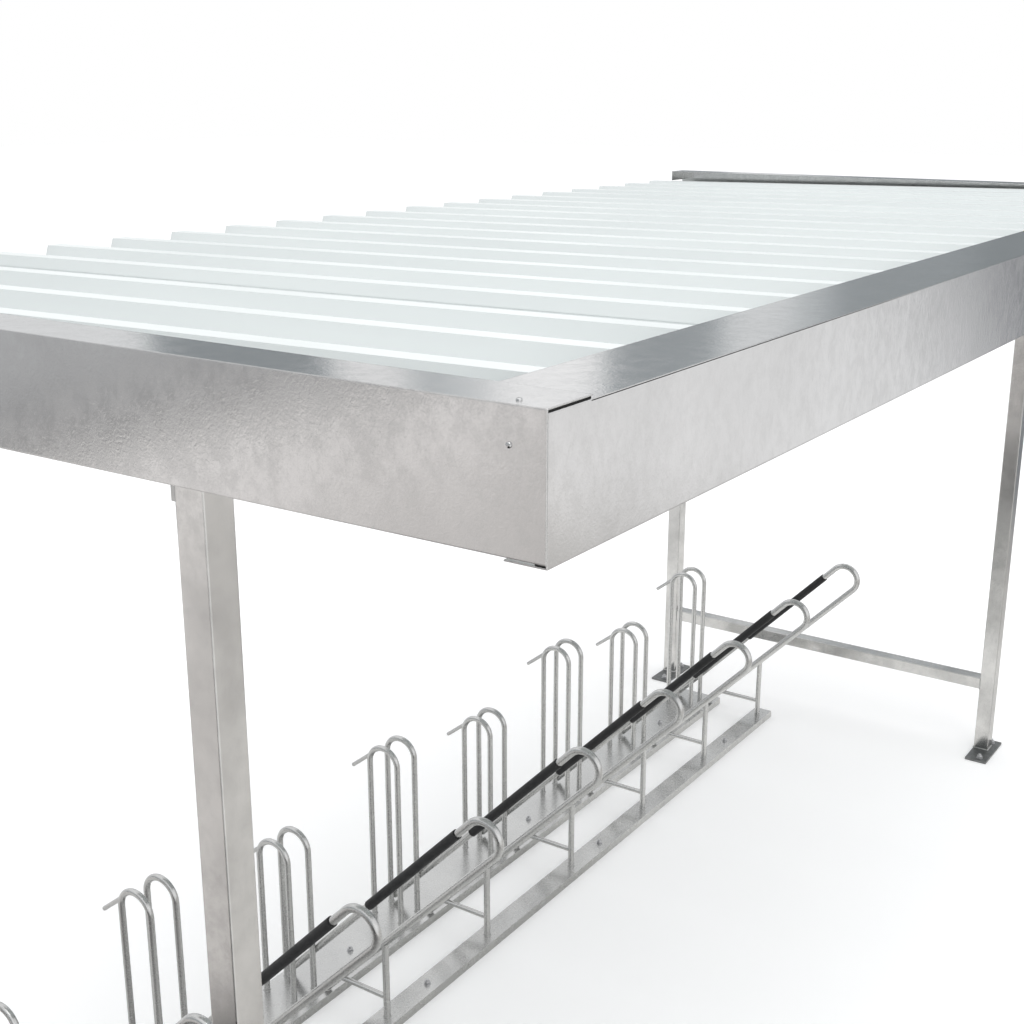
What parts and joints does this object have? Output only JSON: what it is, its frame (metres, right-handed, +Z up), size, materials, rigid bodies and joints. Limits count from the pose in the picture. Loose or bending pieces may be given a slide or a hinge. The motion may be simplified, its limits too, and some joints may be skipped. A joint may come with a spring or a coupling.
{
  "type": "bike shelter",
  "caption": "Open flat-roofed bike shelter: ribbed sheet roof in folded zinc fascias on square posts, over a row of wheel hoops and sloping lean loops.",
  "frame": {"origin": "on the ground, under the middle of the roof's plan", "axes": "+Z up, +Y along the roof's length, +X towards the open long side, -X towards the gutter"},
  "size_m": [2.4, 4.7598, 2.49],
  "materials": {
    "fascia_zinc": "folded galvanised sheet, mottled, satin",
    "post_zinc": "hot-dip galvanised tube, dull grey",
    "plate_zinc": "hot-dip galvanised plate, weathered dull grey",
    "frame_zinc": "galvanised tube, satin",
    "roof_sheet": "coated trapezoidal sheet, smooth pale grey-green",
    "gutter_zinc": "folded galvanised sheet, satin",
    "rack_zinc": "hot-dip galvanised bar and tube, satin",
    "rack_sleeve": "black plastic sleeve, matt"
  },
  "bodies": {
    "root": {"post_near_open": "post_zinc", "post_near_rear": "post_zinc", "post_far_open": "post_zinc", "post_far_rear": "post_zinc", "base_near_open": "plate_zinc", "base_near_rear": "plate_zinc", "base_far_open": "plate_zinc", "base_far_rear": "plate_zinc", "cleat_near_open": "frame_zinc", "cleat_near_rear": "frame_zinc", "cleat_far_open": "frame_zinc", "cleat_far_rear": "frame_zinc", "brace_near": "post_zinc", "brace_far": "post_zinc", "beam_near": "frame_zinc", "beam_far": "frame_zinc", "purlin_edge": "frame_zinc", "purlin_front": "frame_zinc", "purlin_middle": "frame_zinc", "purlin_rear": "frame_zinc", "sheet_1": "roof_sheet", "sheet_2": "roof_sheet", "sheet_3": "roof_sheet", "sheet_4": "roof_sheet", "sheet_5": "roof_sheet", "fascia_near": "fascia_zinc", "fascia_far": "fascia_zinc", "fascia_open": "fascia_zinc", "gutter": "gutter_zinc", "gutter_cap_near": "gutter_zinc", "gutter_cap_far": "gutter_zinc", "gutter_spout": "gutter_zinc", "rack_rail_front": "rack_zinc", "rack_rail_rear": "rack_zinc", "rack_sleeves": "rack_sleeve", "rack_place_1": "rack_zinc", "rack_place_2": "rack_zinc", "rack_place_3": "rack_zinc", "rack_place_4": "rack_zinc", "rack_place_5": "rack_zinc", "rack_place_6": "rack_zinc", "rack_place_7": "rack_zinc", "rack_place_8": "rack_zinc"}
  },
  "joints": []
}
